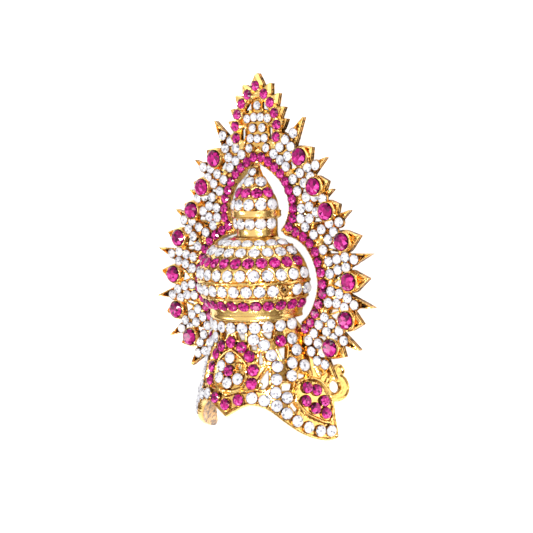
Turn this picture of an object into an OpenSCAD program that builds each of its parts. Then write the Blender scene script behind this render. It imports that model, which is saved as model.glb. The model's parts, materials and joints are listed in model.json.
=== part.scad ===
// Half crown for a temple figure: a flat halo with flame points, a half dome with a bud
// finial, and a flared forehead band with tie eyelets, cast, gold plated and set with cut stones.
// X runs across the crown, Y up it and Z out of its front; it lies on its open back.

/* [Halo] */
// Thickness of the halo plate, from its back to the rims
plate_t = 2.4; // [2:0.1:3]
// Depth of the floor that carries the small stones, below the rims
floor_depth = 0.9; // [0.5:0.1:1.2]
// Width of the rim left standing round each point
rim_w = 0.7; // [0.5:0.1:1]
// Half of the width of the groove for the row of small stones round the opening
groove_half = 1.55; // [1.4:0.05:1.7]
// Plain edge between that groove and the opening
edge_w = 0.7; // [0.5:0.1:1]
// Width of solid plate outside the middle of that groove, where the points start
body_w = 3.2; // [2.5:0.1:4]
// Half width of a petal at its stone
petal_half = 3.15; // [3.1:0.05:3.3]
// Height of the petal cups above the rims
cup_rise = 0.9; // [0.5:0.1:1.5]
// Width of the metal round the stone in a cup
cup_w = 0.6; // [0.5:0.05:0.7]

/* [Dome and finial] */
// Thickness of the metal of the dome, the finial and the band
wall_t = 1.2; // [1:0.1:1.4]
// Height of the dome's widest ring up the crown
dome_y = 45.4; // [45:0.1:46]
// Lean of the dome and the finial towards the front, in degrees
dome_lean = 3; // [2:0.5:4]
// Height at which the finial starts, above the dome's widest ring
finial_foot = 11.6; // [11.6:0.1:12]
// Distance of the finial behind the dome's axis
finial_back = 0.8; // [0.5:0.1:1]
// Diameter of the hole under a missing stone
bare_hole_d = 1.1; // [0.8:0.1:1.4]

/* [Band] */
// Height of the top edge of the band up the crown
band_top_y = 35; // [34.8:0.1:35.2]
// Lean of the band's axis, in degrees
band_lean = 6.5; // [6:0.1:7]
// Half angle of the band's rounded front, in degrees
wrap = 68; // [66:0.5:70]
// Radius of the band at its top
neck_r = 13.2; // [13:0.1:13.4]
// How much wider the band's radius is at the bottom of its flare
flare = 7; // [6.5:0.1:7.5]
// Depth over which the band flares
flare_depth = 32; // [30:0.5:34]
// Height of the raised lines on the band
line_rise = 0.7; // [0.4:0.1:0.9]
// Width of the raised lines on the band
line_w = 0.6; // [0.4:0.05:0.6]
// Diameter of the hole in each tie eyelet
tie_hole_d = 3.4; // [3:0.1:3.6]
// Radius of each tie eyelet
eyelet_r = 4.2; // [3.8:0.1:4.4]

/* [Stones] */
// Diameter of the large stones in the petals
petal_stone_d = 4.65; // [4.4:0.05:4.7]
// Diameter of the stones of the dome, the finial and the band
row_stone_d = 3.05; // [2.8:0.05:3.1]
// Diameter of the stones in the flames of the crest
small_stone_d = 2.65; // [2.4:0.05:2.65]
// Diameter of the stones in the middle of the crest
crest_crystal_d = 2.3; // [2.1:0.05:2.3]
// Diameter of the stones at the tip of the finial
tip_stone_d = 2.1; // [1.8:0.1:2.1]
// Clearance between a stone and the metal round and under it
seat_gap = 0.12; // [0.1:0.01:0.15]

/* [Rest] */
// Lean of the crown when it lies on its eyelets and on the tip of its crest, in degrees
rest_lean = 6.64; // [6:0.01:7]
// Height of the halo's face over the surface, at the foot of the crown
rest_lift = 14.34; // [13.5:0.01:15]
// Distance from the foot of the crown to the middle of its length
half_length = 50.9; // [50:0.1:52]

/* [Hidden] */
$fn = 48;
gold = "#e3a92c";
crystal = "#eef1f6";
fuchsia = "#c31a7c";

// Height of the dome's and the band's axis in front of the halo's face
axis_z = -1.1;
joint_gap = 0.1;
cup_floor = 0;
flame_floor = -0.3;
past = 4;

// Points of the halo, from the crest down: tip x, tip y, foot x, foot y, half width of the foot
points = [
    [16.0, 90.6,  7.4, 77.6, 3.7],
    [23.7, 79.3, 12.2, 71.2, 3.3],
    [26.0, 70.5, 14.2, 64.2, 3.3],
    [31.4, 64.7, 17.4, 56.4, 3.9],
    [38.3, 52.9, 23.2, 48.8, 3.9],
    [39.1, 38.2, 23.2, 40.8, 3.9],
    [34.5, 26.2, 19.6, 33.8, 3.9],
    [26.3, 17.4, 17.6, 27.6, 3.6]
];
// Petals between the points: stone x, stone y, tip x, tip y
petals = [
    [15.2, 79.3, 18.7, 81.9],
    [20.0, 71.0, 24.0, 72.5],
    [24.0, 64.2, 27.6, 66.2],
    [29.2, 56.0, 34.4, 57.7],
    [31.4, 45.1, 37.2, 46.1],
    [30.4, 34.5, 35.2, 33.6],
    [25.2, 26.6, 29.3, 24.2]
];
petal_root = 7;
window_root = 5.7;
window_half = 1.35;
// Flames of the crest, from the top down: stone x, stone y, tip x, tip y
flames = [
    [0,    99.6,  0,   103.4],
    [2.9,  97.2,  4.9, 100.4],
    [5.1,  94.7,  7.6, 97.4],
    [6.6,  91.7,  9.5, 93.4],
    [7.4,  88.4, 10.3, 90.0],
    [7.1,  85.0,  9.9, 85.9]
];
// Right half of the solid crest, of its recessed floor and of its two windows: x, y
crest_edge = [[0, 99], [3.4, 95], [5.2, 92], [6.0, 88], [5.8, 84], [8.6, 80.5], [8, 76], [0, 79]];
crest_floor = [[0, 96.2], [1.5, 95.7], [1.7, 92.4], [5.9, 92.0], [5.9, 89.0], [3.5, 88.7], [4.2, 83.6],
               [4.9, 81.6], [4.6, 79.4], [0, 82.6]];
crest_windows = [
    [[2.1, 95.4], [2.1, 93.1], [4.3, 92.6]],
    [[4.2, 88.3], [5.4, 87.3], [5.4, 84.8], [4.5, 84.2]]
];
// Small stones in the middle of the crest: x, y
crest_seats = [[0, 94.1], [1.2, 90.8], [3.65, 90.4], [1.7, 87.7], [0, 84.7], [2.5, 84.8], [3.0, 82.0]];
// Room that the plate leaves beside the dome's shoulder, right half: x, y
shoulder_room = [[-1, 51], [15.2, 52.4], [12.9, 55.0], [9.4, 57.5], [7.8, 58.8], [-1, 58.8]];
// Middle of the groove round the opening, upper and lower lobe, right half: x, y
upper_lobe = [[0, 80.4], [5.6, 77.2], [10.4, 73.0], [12.8, 68.0], [12.9, 63.5], [11.3, 59.4], [8.5, 56.0]];
lower_lobe = [[8.0, 59.8], [13.5, 58.6], [18.0, 55.6], [21.4, 50.4], [22.7, 44.4], [21.6, 38.6],
              [18.6, 33.4], [14.0, 29.8]];

// Rows of stones of the dome, from the foot up: radius, height, face angle, stones, step in degrees
dome_rows = [
    [15.1, -6.3, -28, 14, 12.9],
    [16.8, -2.3,  -8, 15, 12.2],
    [16.8,  1.9,  12, 14, 12.7],
    [15.5,  5.1,  33, 13, 13.2],
    [13.3, 7.65,  50, 11, 15.9],
    [10.0,  9.7,  62,  9, 19.5]
];
dome_tints = [fuchsia, crystal, crystal, fuchsia, crystal, crystal];
dome_foot = [[13.2, -12.4], [13.2, -11.0], [14.3, -10.6], [14.4, -9.7], [13.7, -9.1]];
// Outside and inside of the dome's neck under the finial
dome_neck = [[7.0, 10.9], [6.5, 11.5]];
dome_throat = [6.7, 9.7];
// The one empty seat of the dome: row and place in it
bare_row = 1;
bare_place = 12;
// Rows of stones of the finial, from the foot up: radius, height, face angle, stones, step in degrees
finial_rows = [
    [6.2,   3.9, -4, 6, 26.8],
    [6.6,  9.15, 12, 6, 28.0],
    [5.2, 12.25, 32, 5, 33.4],
    [3.4, 15.25, 38, 3, 51.0]
];
magenta_finial_row = 2;
finial_foot_line = [[6.5, 0], [6.1, 0.4]];
finial_moulding = [[7.5, 5.9], [7.8, 6.3], [7.2, 6.7], [7.8, 7.1]];
finial_tip = [[2.3, 16.75], [1.2, 19.2], [0.4, 20.3]];
finial_hollow_top = [0.4, 17.4];
tip_seat = [1.67, 18.15, 24];
tip_step = 72;
facet_half = 1.6;
arc_steps = 7;

// Upper and lower edge of the band, round from the front: distance, depth
top_edge = [[0, 0], [19, 0], [25.2, 8.0], [31.6, 16.6], [33.4, 24.6], [34.6, 33.6]];
low_edge = [
    [0, 25.8], [3.4, 23.9], [5.8, 22.8], [8.1, 22.5], [11, 23.2], [13.9, 24.8], [17.4, 27.6], [21.7, 31.0],
    [25.5, 33.4], [29.7, 35.1], [32.8, 35.6], [34.6, 35.0]
];
front_low_edge = [for (p = low_edge) if (p[0] <= 11) p];
side_low_edge = [for (p = low_edge) if (p[0] >= 11) p];
shell_depths = [0:3:36];
flat_l = 13.5;
band_seat_gap = 0.16;
// Gaps of the pierced band, right half, each as corners: distance, depth
band_gaps = [
    [[1.3, 3.2], [4.1, 2.9], [4.1, 5.0], [2.4, 5.0]],
    [[5.7, 6.1], [7.7, 6.1], [7.5, 7.8], [6.2, 7.7]],
    [[8.9, 3.3], [12.0, 3.3], [11.6, 5.0], [10.8, 5.0]],
    [[8.7, 8.1], [9.9, 11.6], [8.7, 11.8], [8.4, 9.9]],
    [[13.7, 8.2], [16.2, 7.7], [16.2, 10.7], [15.3, 11.0]],
    [[11.5, 12.9], [12.0, 17.0], [10.9, 18.4], [9.8, 18.0], [10.5, 16.9], [9.4, 16.2]],
    [[20.6, 15.2], [24.0, 16.5], [20.9, 16.9]],
    [[15.9, 17.4], [19.0, 17.7], [18.7, 19.3], [16.1, 19.2]],
    [[19.6, 22.6], [21.4, 24.8], [20.6, 25.4], [18.9, 23.3]],
    [[26.6, 14.2], [29.4, 17.0], [28.6, 17.2]]
];
// Raised lines of the band, right half: distance, depth
leaf_line = [[0, 7.7], [2.6, 9.2], [4.6, 11.2], [5.3, 13.6], [5.3, 16.2], [3.6, 18.3], [0, 18.9]];
bracket_line = [[0, 19.9], [3.6, 18.95], [7.2, 18.6], [9.3, 18.3]];
paisley_line = [
    [20.6, 17.9], [20.1, 20.4], [21.2, 23.2], [24.0, 26.2], [27.6, 28.5], [31.2, 30.1], [32.6, 29.0],
    [32.5, 24.8], [31.0, 21.8], [28.0, 18.7], [24.0, 17.3], [20.6, 17.9]
];
eyelet_at = [34.2, 21.2];
eyelet_rise = 0.2;
tie_hole_at = [33.4, 21.0];
// Middle of the knob on the eyelet, behind it and above it
eyelet_knob_at = [2.0, 4.4];
eyelet_knob_r = 1.9;
bare_leaf_at = [2.91, 12.4];

// Stones of the band, right half or on the axis: distance, depth
top_row_seats = [0, 3.5, 7.0, 10.5, 14.0, 17.6];
top_row_depth = 1.7;
leaf_apex = [0, 5.7];
leaf_magenta_seats = [[3.4, 7.0], [5.8, 9.5], [7.3, 13.2], [7.3, 16.7]];
leaf_heart = [0, 13.45];
leaf_axis_seats = [[0, 9.95], [0, 16.7]];
leaf_side_seats = [[2.91, 12.4], [3.2, 15.5]];
lattice_seats = [
    [6.7, 5.0], [9.6, 6.6], [11.8, 9.6], [13.8, 12.7], [14.0, 16.1], [14.2, 19.5], [17.6, 21.2], [17.6, 5.9],
    [19.3, 9.2], [18.1, 12.4], [18.3, 15.7], [22.3, 13.7]
];
lattice_magenta_seat = [14.1, 6.0];
edge_apex = [0, 22.4];
edge_magenta_seat = [4.0, 21.0];
edge_seats = [
    [7.9, 20.5], [11.4, 21.3], [14.9, 23.0], [17.9, 25.3], [21.1, 27.8], [24.6, 30.1], [28.4, 31.9],
    [31.9, 32.6]
];
paisley_seats = [[23.8, 19.6], [27.1, 20.8], [23.7, 23.0], [30.0, 24.1], [26.9, 25.5], [30.5, 27.4]];

sides = [["right", 1], ["left", -1]];
petal_names = [for (s = sides, i = [1:len(petals)]) str("petal_stone_", s[0], "_", i)];
flame_names = [for (s = sides, i = [1:len(flames) - 1]) str("crest_stone_", s[0], "_", i)];
dome_row_names = [for (i = [1:len(dome_rows)]) str("dome_row_", i)];

function unit(v) = v / norm(v);
function left_of(v) = [-v[1], v[0]];
function across_axis(p) = [for (q = p) [-q[0], q[1]]];
function reversed(p) = [for (i = [len(p) - 1:-1:0]) p[i]];
// Smooth curve through the given points, in steps from each to the next
function curve(p, steps) = [
    for (i = [0:len(p) - 2], k = [0:i == len(p) - 2 ? steps : steps - 1])
        let (t = k / steps, a = p[max(i - 1, 0)], b = p[i], c = p[i + 1], d = p[min(i + 2, len(p) - 1)])
        (2 * b + (c - a) * t + (2 * a - 5 * b + 4 * c - d) * t * t + (3 * b - a - 3 * c + d) * t * t * t) / 2
];
// A curve moved to the left of its own direction
function moved(p, distance) = [
    for (i = [0:len(p) - 1])
        p[i] + distance * left_of(unit(p[min(i + 1, len(p) - 1)] - p[max(i - 1, 0)]))
];

// Radius and slope of the band at a depth, and the angle and the straight run to a point of it
function smooth(x) = x < 0 ? 0 : x > 1 ? 1 : x * x * (3 - 2 * x);
function bell_r(t) = neck_r + flare * smooth(t / flare_depth);
function bell_angle(t) = atan(bell_r(t + 0.5) - bell_r(t - 0.5));
function turn(a, t) = max(-wrap, min(wrap, a / bell_r(t) * 180 / PI));
function straight(a, t) = a - turn(a, t) * bell_r(t) * PI / 180;
function shell_point(t, lift) = [bell_r(t) + lift * cos(bell_angle(t)), -t + lift * sin(bell_angle(t))];
// Points of the wall as seen square to it at the given angle round the band
function seen_from(angle, p) = [
    for (q = p) let (w = turn(q[0], q[1]) - angle)
        [sin(w) * bell_r(q[1]) + cos(w) * straight(q[0], q[1]), -q[1]]
];
// Edge of the halo's plate along the band's side, down from the band's top edge
function beside_band(t) =
    let (back = axis_z + plate_t - t * tan(band_lean))
    [bell_r(t) / sin(wrap) + back / tan(wrap) + joint_gap, band_top_y - t];

// Ends of the flat facet under a row, and the ridge between one facet and the next
function facet_low(row) = [row[0] + facet_half * sin(row[2]), row[1] - facet_half * cos(row[2])];
function facet_high(row) = [row[0] - facet_half * sin(row[2]), row[1] + facet_half * cos(row[2])];
function ridge(p, q) =
    let (d = q - p, out = unit([d[1], -d[0]]), rise = min(0.6, 0.1 + 0.35 * norm(d)))
    [p + 0.25 * d + rise * out, p + 0.75 * d + rise * out];
function facets(rows, last) = [
    for (i = [0:last]) each concat([facet_low(rows[i]), facet_high(rows[i])],
        i < last ? ridge(facet_high(rows[i]), facet_low(rows[i + 1])) : [])
];
function inner_wall(rows) = [for (r = rows) [r[0] - wall_t * cos(r[2]), r[1] - wall_t * sin(r[2])]];
dome_outline = concat(dome_foot, facets(dome_rows, 5), dome_neck,
    [[dome_neck[1][0] - wall_t, dome_neck[1][1]], dome_throat], reversed(inner_wall(dome_rows)),
    [[dome_foot[0][0] - wall_t, dome_foot[0][1]]]);
lower_finial = facets([finial_rows[0]], 0);
upper_finial = [for (i = [1:3]) each [facet_low(finial_rows[i]), facet_high(finial_rows[i])]];
finial_outline = concat(finial_foot_line, lower_finial, finial_moulding, upper_finial, finial_tip,
    [finial_hollow_top], reversed(inner_wall(finial_rows)), [[finial_foot_line[0][0] - wall_t, 0]]);

module both() { children(); mirror([1, 0, 0]) children(); }

module lying() {
    translate([0, -half_length, rest_lift]) rotate([-rest_lean, 0, 0]) children();
}

module dome_frame(height = 0, back = 0) {
    translate([0, dome_y, axis_z]) rotate([dome_lean - 90, 0, 0]) translate([0, back, height]) children();
}

module band_frame() {
    translate([0, band_top_y, axis_z]) rotate([band_lean - 90, 0, 0]) children();
}

module on_wall(a, t, lift = seat_gap) {
    rotate([0, 0, turn(a, t)]) translate([straight(a, t), -bell_r(t), -t])
        rotate([90 - bell_angle(t), 0, 0]) translate([0, 0, lift]) children();
}

module on_row(row, place, lift = seat_gap) {
    rotate([0, 0, (place - (row[3] - 1) / 2) * row[4]]) translate([0, -row[0], row[1]])
        rotate([90 - row[2], 0, 0]) translate([0, 0, lift]) children();
}

// Cut stone: a flat foot, a straight girdle, eight crown facets and a table
module stone(d, girdle, height) {
    ring = function(r, z) [for (i = [0:7]) [r * cos(22.5 + 45 * i), r * sin(22.5 + 45 * i), z]];
    side = function(low) [for (i = [0:7]) [low + i, low + 8 + i, low + 8 + (i + 1) % 8, low + (i + 1) % 8]];
    polyhedron(
        concat(ring(d / 2, 0), ring(d / 2, girdle), ring(0.29 * d, height)),
        concat([[for (i = [0:7]) i]], side(0), side(8), [[for (i = [23:-1:16]) i]]),
        convexity = 2
    );
}

module point_shape(p, inset = 0) {
    tip = [p[0], p[1]];
    foot = [p[2], p[3]];
    inward = unit(foot - tip);
    side = (p[4] - inset) * left_of(inward);
    polygon([tip + inset / sin(atan(p[4] / norm(foot - tip))) * inward, foot + side, foot - side]);
}

// Round seat drawn out to a tip, and to a root on the other side if one is given
module drop_shape(seat, tip, r, root = 0) {
    out = unit(tip - seat);
    front = acos(r / norm(tip - seat));
    back = root > 0 ? 180 - acos(r / root) : 180;
    rim = function(w) seat + r * (cos(w) * out + sin(w) * left_of(out));
    arc = [for (k = [0:arc_steps]) front + (back - front) * k / arc_steps];
    polygon(concat([tip], [for (w = arc) rim(w)], root > 0 ? [seat - root * out] : [],
        [for (w = reversed(arc)) if (w < 179) rim(-w)]));
}

module petal_shape(p) { drop_shape([p[0], p[1]], [p[2], p[3]], petal_half, petal_root); }

module petal_window(p) {
    seat = [p[0], p[1]];
    out = unit([p[2], p[3]] - seat);
    wide = seat - (petal_half + 0.05) * out;
    side = window_half * left_of(out);
    polygon([seat - window_root * out, wide - side, wide + side]);
}

module flame_shape(p) { drop_shape([p[0], p[1]], [p[2], p[3]], small_stone_d / 2 + cup_w); }

module flame_shapes() {
    flame_shape(flames[0]);
    both() for (i = [1:len(flames) - 1]) flame_shape(flames[i]);
}

// The two lobes of the opening, grown from the middle of the groove
module lobes(grow) {
    upper = [for (p = moved(curve(upper_lobe, 4), grow)) if (p[0] > 0.3) p];
    lower = moved(curve(lower_lobe, 4), grow);
    polygon(concat([[0, upper_lobe[0][1] + 1.15 * grow]], upper, reversed(across_axis(upper))));
    polygon(concat(lower, reversed(across_axis(lower))));
}

module halo_shape() {
    lobes(body_w);
    both() {
        polygon(crest_edge);
        for (p = points) point_shape(p);
        for (p = petals) petal_shape(p);
    }
}

module floor_shape() {
    difference() {
        union() {
            lobes(groove_half);
            both() {
                polygon(crest_floor);
                for (p = points) point_shape(p, rim_w);
            }
        }
        lobes(-groove_half);
        both() for (p = petals) petal_shape(p);
        flame_shapes();
    }
}

module window_shape() {
    lobes(-groove_half - edge_w);
    both() {
        for (p = petals) petal_window(p);
        for (w = crest_windows) polygon(w);
        polygon(shoulder_room);
        polygon(concat([[-1, band_top_y + 0.3], [beside_band(0)[0], band_top_y + 0.3]],
            [for (t = [0:4:24]) beside_band(t)], [[-1, band_top_y - 24]]));
    }
}

module halo() {
    color(gold) lying() difference() {
        union() {
            translate([0, 0, -plate_t]) linear_extrude(plate_t) halo_shape();
            translate([0, 0, -plate_t]) linear_extrude(plate_t + cup_rise / 2) flame_shapes();
            both() for (p = petals) translate([p[0], p[1], -plate_t])
                cylinder(r = petal_stone_d / 2 + cup_w, h = plate_t + cup_rise);
        }
        translate([0, 0, -plate_t - past]) linear_extrude(plate_t + 2 * past) window_shape();
        translate([0, 0, -floor_depth]) linear_extrude(past) floor_shape();
        both() {
            for (p = petals) translate([p[0], p[1], cup_floor])
                cylinder(d = petal_stone_d + 2 * seat_gap, h = past);
            for (i = [1:len(flames) - 1]) translate([flames[i][0], flames[i][1], flame_floor])
                cylinder(d = small_stone_d + 2 * seat_gap, h = past);
        }
        translate([flames[0][0], flames[0][1], flame_floor])
            cylinder(d = small_stone_d + 2 * seat_gap, h = past);
    }
}

module dome() {
    color(gold) lying() difference() {
        dome_frame() rotate([0, 0, 180]) rotate_extrude(angle = 180) polygon(dome_outline);
        band_frame() translate([-30, -30, joint_gap - 20]) cube([60, 60, 20]);
        dome_frame() on_row(dome_rows[bare_row], bare_place, -3) cylinder(d = bare_hole_d, h = 6);
    }
}

module finial() {
    color(gold) lying() dome_frame(finial_foot, finial_back) rotate([0, 0, 180])
        rotate_extrude(angle = 180) polygon(finial_outline);
}

// A shell of the band's flared shape, between two heights over its face
module shell(low, high) {
    outline = concat([for (t = shell_depths) shell_point(t, low)],
        reversed([for (t = shell_depths) shell_point(t, high)]));
    rotate([0, 0, -90 - wrap]) rotate_extrude(angle = 2 * wrap) polygon(outline);
    both() rotate([0, 0, wrap - 90]) translate([0, flat_l, 0]) rotate([90, 0, 0]) linear_extrude(flat_l)
        polygon(outline);
}

// A prism through the band's wall, square to it at the given angle round the band
module through_wall(angle) {
    rotate([0, 0, angle]) translate([0, -8, 0]) rotate([90, 0, 0]) linear_extrude(20) children();
}

// What is cut away below the lower edge, and behind the upper edge
module front_waste() {
    edge = seen_from(0, front_low_edge);
    last = edge[len(edge) - 1];
    polygon(concat(edge, [[last[0] + 4, -45], [-last[0] - 4, -45]],
        reversed(across_axis([for (p = edge) if (p[0] > 0.1) p]))));
}

module side_waste() {
    low = seen_from(wrap, side_low_edge);
    high = seen_from(wrap, top_edge);
    polygon(concat(low, reversed(high), [[high[0][0], 5], [40, 5], [40, -45], [low[0][0] - 6, -45]]));
}

// A line of the band's relief, as seen at the given angle
module line(p, angle) {
    polygon(seen_from(angle, concat(moved(p, line_w / 2), reversed(moved(p, -line_w / 2)))));
}

module raised_lines() {
    intersection() {
        shell(-wall_t / 2, line_rise);
        union() {
            through_wall(0) both() {
                line(curve(leaf_line, 2), 0);
                line(curve(bracket_line, 2), 0);
            }
            both() through_wall(wrap) difference() {
                polygon(seen_from(wrap, moved(curve(paisley_line, 2), -line_w / 2)));
                polygon(seen_from(wrap, moved(curve(paisley_line, 2), line_w / 2)));
            }
        }
    }
}

module band_gap(corners) {
    a = (corners[0][0] + corners[2][0]) / 2;
    t = (corners[0][1] + corners[2][1]) / 2;
    on_wall(a, t, -3) linear_extrude(6)
        polygon([for (c = corners) [c[0] - a, (t - c[1]) / cos(bell_angle(t))]]);
}

module eyelet_plate() {
    on_wall(eyelet_at[0], eyelet_at[1], -wall_t - eyelet_rise) linear_extrude(wall_t + 2 * eyelet_rise) {
        circle(r = eyelet_r);
        translate(eyelet_knob_at) circle(r = eyelet_knob_r);
    }
}

module band() {
    color(gold) lying() band_frame() difference() {
        union() {
            difference() {
                shell(-wall_t, 0);
                through_wall(0) front_waste();
                both() through_wall(wrap) side_waste();
            }
            raised_lines();
            both() eyelet_plate();
        }
        both() {
            for (g = band_gaps) band_gap(g);
            on_wall(tie_hole_at[0], tie_hole_at[1], -3) cylinder(d = tie_hole_d, h = 6);
        }
        on_wall(bare_leaf_at[0], bare_leaf_at[1], -3) cylinder(d = bare_hole_d, h = 6);
    }
}

module petal_stone(p, side) {
    color(fuchsia) lying() translate([side * p[0], p[1], cup_floor + seat_gap])
        stone(petal_stone_d, 1.0, 2.0);
}

module crest_stone(p, side) {
    color(fuchsia) lying() translate([side * p[0], p[1], flame_floor + seat_gap])
        stone(small_stone_d, 0.7, 1.4);
}

module crest_crystals() {
    color(crystal) lying() for (s = [1, -1], p = crest_seats) if (s > 0 || p[0] > 0)
        translate([s * p[0], p[1], seat_gap - floor_depth]) stone(crest_crystal_d, 0.8, 1.4);
}

module row_stone() { stone(row_stone_d, 0.5, 1.2); }

module dome_row(i) {
    color(dome_tints[i]) lying() dome_frame() for (k = [0:dome_rows[i][3] - 1])
        if (i != bare_row || k != bare_place) on_row(dome_rows[i], k) row_stone();
}

module finial_crystals() {
    color(crystal) lying() dome_frame(finial_foot, finial_back) {
        for (i = [0:len(finial_rows) - 1]) if (i != magenta_finial_row)
            for (k = [0:finial_rows[i][3] - 1]) on_row(finial_rows[i], k) row_stone();
        for (k = [0, 1]) on_row([tip_seat[0], tip_seat[1], tip_seat[2], 3, tip_step], k)
            stone(tip_stone_d, 0.4, 0.9);
    }
}

module finial_magentas() {
    row = finial_rows[magenta_finial_row];
    color(fuchsia) lying() dome_frame(finial_foot, finial_back)
        for (k = [0:row[3] - 1]) on_row(row, k) row_stone();
}

// Stones on one or both sides of the band
module band_stones(seats, tint, turns = [1, -1]) {
    color(tint) lying() band_frame() for (s = turns, p = seats)
        if (s > 0 || p[0] > 0 || len(turns) == 1) on_wall(s * p[0], p[1], band_seat_gap) row_stone();
}

module band_top_row() { band_stones([for (a = top_row_seats) [a, top_row_depth]], crystal); }
module band_edge_crystals() { band_stones(edge_seats, crystal); }
module band_edge_magentas() { band_stones([edge_apex, edge_magenta_seat], fuchsia); }
module leaf_magentas() { band_stones(concat([leaf_apex, leaf_heart], leaf_magenta_seats), fuchsia); }
module leaf_crystals() {
    band_stones(concat(leaf_axis_seats, [leaf_side_seats[1]]), crystal);
    band_stones([leaf_side_seats[0]], crystal, [-1]);
}
module lattice_magentas() { band_stones([lattice_magenta_seat], fuchsia); }
module lattice_crystals(side) { band_stones(lattice_seats, crystal, [side]); }
module paisley_stones(side) { band_stones(paisley_seats, fuchsia, [side]); }

halo();
dome();
finial();
band();
for (s = sides, i = [1:len(petals)])
    petal_stone(petals[i - 1], s[1]);
crest_stone(flames[0], 1);  // crest_stone_top
for (s = sides, i = [1:len(flames) - 1])
    crest_stone(flames[i], s[1]);
crest_crystals();
for (i = [1:len(dome_rows)])
    dome_row(i - 1);
finial_crystals();
finial_magentas();
band_top_row();
band_edge_crystals();
band_edge_magentas();
leaf_magentas();
leaf_crystals();
lattice_magentas();
for (s = sides)
    lattice_crystals(s[1]);
for (s = sides)
    paisley_stones(s[1]);
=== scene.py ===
import json
import math

import bpy
import numpy as np
from mathutils import Matrix, Vector


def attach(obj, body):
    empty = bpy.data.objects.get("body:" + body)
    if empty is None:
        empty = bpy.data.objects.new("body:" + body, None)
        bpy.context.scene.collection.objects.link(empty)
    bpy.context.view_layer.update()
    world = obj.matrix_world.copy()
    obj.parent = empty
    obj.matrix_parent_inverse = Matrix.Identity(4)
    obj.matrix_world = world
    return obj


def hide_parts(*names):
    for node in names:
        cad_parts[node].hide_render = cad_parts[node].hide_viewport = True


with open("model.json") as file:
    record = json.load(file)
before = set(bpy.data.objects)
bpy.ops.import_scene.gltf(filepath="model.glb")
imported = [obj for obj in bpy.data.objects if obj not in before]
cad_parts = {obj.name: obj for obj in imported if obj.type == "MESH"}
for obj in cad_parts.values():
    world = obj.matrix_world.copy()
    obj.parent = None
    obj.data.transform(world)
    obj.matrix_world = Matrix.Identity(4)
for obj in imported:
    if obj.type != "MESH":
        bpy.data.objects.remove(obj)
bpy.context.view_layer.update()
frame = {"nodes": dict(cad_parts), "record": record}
print("stage: frame loaded")

# Where the crown's parts sit, in mm and degrees. Standing, x runs across, y up and z to the front
crown = {
    "restLean": 6.64, "restLift": 14.34, "halfLength": 50.9, "axisHeight": -1.1,
    "domeFoot": 45.4, "domeLean": 3.0, "finialFoot": 11.6, "finialBack": 0.8,
    "bandTop": 35.0, "bandLean": 6.5,
}


def turnedX(points, degrees):
    # turned about X: y and z mixed by the cosine and the sine of the angle
    c, s = math.cos(math.radians(degrees)), math.sin(math.radians(degrees))
    x, y, z = np.moveaxis(points, -1, 0)
    return np.stack([x, c * y - s * z, s * y + c * z], -1)


def lying(points):
    # the standing crown laid on its back
    return turnedX(points, -crown["restLean"]) + (0, -crown["halfLength"], crown["restLift"])


def onDomeAxis(points, height=0.0, back=0.0):
    # points round the dome's upright axis, moved into the standing crown
    up = points + (0, back, height)
    return turnedX(up, crown["domeLean"] - 90) + (0, crown["domeFoot"], crown["axisHeight"])


def onBandAxis(points):
    # the same for the band's axis, which leans more
    return turnedX(points, crown["bandLean"] - 90) + (0, crown["bandTop"], crown["axisHeight"])


# Finishes

def linear(code):
    # sRGB hex to linear: the power 2.4 curve, with its straight foot
    value = np.array([int(code[i:i + 2], 16) for i in (1, 3, 5)]) / 255
    return (*np.where(value < 0.04045, value / 12.92, ((value + 0.055) / 1.055) ** 2.4), 1.0)


def addNode(tree, kind, inputs=None, stops=(), **settings):
    # inputs holds plain values, and sockets where another node feeds the input; stops are the
    # positions and sRGB codes of a ramp of colours
    node = tree.nodes.new(kind)
    for name, value in settings.items():
        setattr(node, name, value)
    for name, value in (inputs or {}).items():
        if isinstance(value, bpy.types.NodeSocket):
            tree.links.new(value, node.inputs[name])
        else:
            node.inputs[name].default_value = value
    for index, (position, code) in enumerate(stops):
        elements = node.color_ramp.elements
        element = elements[index] if index < len(elements) else elements.new(position)
        element.position = position
        element.color = linear(code)
    return node


def newMaterial(name):
    # a material and its node tree, still empty
    material = bpy.data.materials.new(name)
    material.use_nodes = True
    material.node_tree.nodes.clear()
    return material, material.node_tree


# Grain and streaks are noise of the given sizes in mm. A streak shifts the colour by streakDepth
goldLook = {
    # the stops colour the painted shade: pale yellow at 0, then painted orange reflection, then
    # painted brown shade to near black at 1
    "stops": [
        (0.0, "#FFD787"), (0.3, "#F9C974"), (0.68, "#DEA65E"), (0.85, "#825E38"), (1.0, "#2C2318"),
    ],
    "roughness": 0.17, "grainMm": 1.4, "grainDetail": 3.0, "grainDepth": 0.14, "grainStrength": 1.0,
    "streakMm": (2.6, 0.7, 2.6), "streakFrom": 0.35, "streakTo": 0.65, "streakDepth": 0.17,
}


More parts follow.
